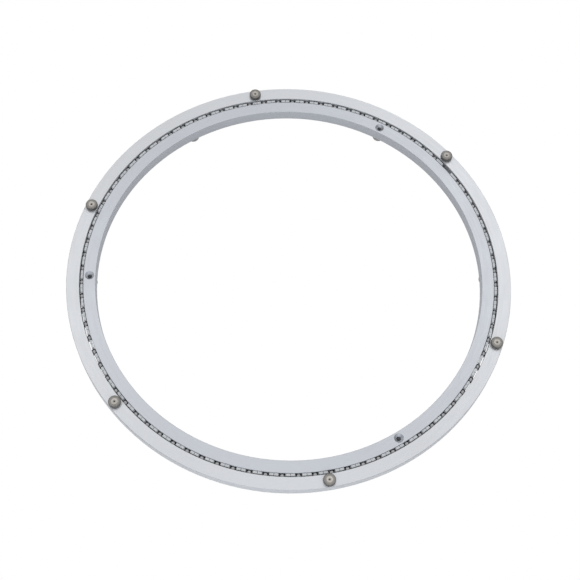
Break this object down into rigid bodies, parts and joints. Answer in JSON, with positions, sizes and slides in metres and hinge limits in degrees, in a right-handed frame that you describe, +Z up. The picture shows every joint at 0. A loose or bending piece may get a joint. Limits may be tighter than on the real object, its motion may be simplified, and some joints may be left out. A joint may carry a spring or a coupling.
{
  "type": "lazy susan turntable",
  "caption": "Low ring-shaped turntable bearing: a fixed ring on soft feet carries a turning ring with soft top pads on a caged ball race, open through the middle.",
  "frame": {"origin": "centre of the turntable on the surface that its feet stand on", "axes": "+Z up along the axis of rotation; +X towards the first screw hole of the fixed ring"},
  "size_m": [0.4499, 0.45, 0.0232],
  "materials": {
    "inner_aluminium": "satin turned and anodised",
    "outer_aluminium": "satin turned and anodised",
    "cage_plastic": "natural moulded nylon, slightly glossy",
    "ball_steel": "polished bearing steel",
    "pad_silicone": "translucent grey-brown silicone, satin",
    "foot_silicone": "translucent grey silicone, satin"
  },
  "bodies": {
    "base": {"inner_ring": "inner_aluminium", "foot_1": "foot_silicone", "foot_2": "foot_silicone", "foot_3": "foot_silicone", "foot_4": "foot_silicone", "foot_5": "foot_silicone", "foot_6": "foot_silicone"},
    "turntable": {"outer_ring": "outer_aluminium", "top_pad_1": "pad_silicone", "top_pad_2": "pad_silicone", "top_pad_3": "pad_silicone", "top_pad_4": "pad_silicone", "top_pad_5": "pad_silicone", "top_pad_6": "pad_silicone"},
    "ball_race": {"ball_cage": "cage_plastic", "balls_1": "ball_steel", "balls_2": "ball_steel", "balls_3": "ball_steel", "balls_4": "ball_steel", "balls_5": "ball_steel", "balls_6": "ball_steel", "balls_7": "ball_steel", "balls_8": "ball_steel", "balls_9": "ball_steel", "balls_10": "ball_steel", "balls_11": "ball_steel", "balls_12": "ball_steel"}
  },
  "joints": [
    {"name": "turntable_spin", "type": "hinge", "parent": "base", "child": "turntable", "pos_m": [0, 0, 0.0132], "axis": [0, 0, 1], "continuous": true},
    {"name": "ball_race_orbit", "type": "hinge", "parent": "base", "child": "ball_race", "pos_m": [0, 0, 0.0132], "axis": [0, 0, 1], "continuous": true}
  ],
  "couplings": [
    {"joint": "ball_race_orbit", "follows": "turntable_spin", "ratio": 0.50756}
  ]
}
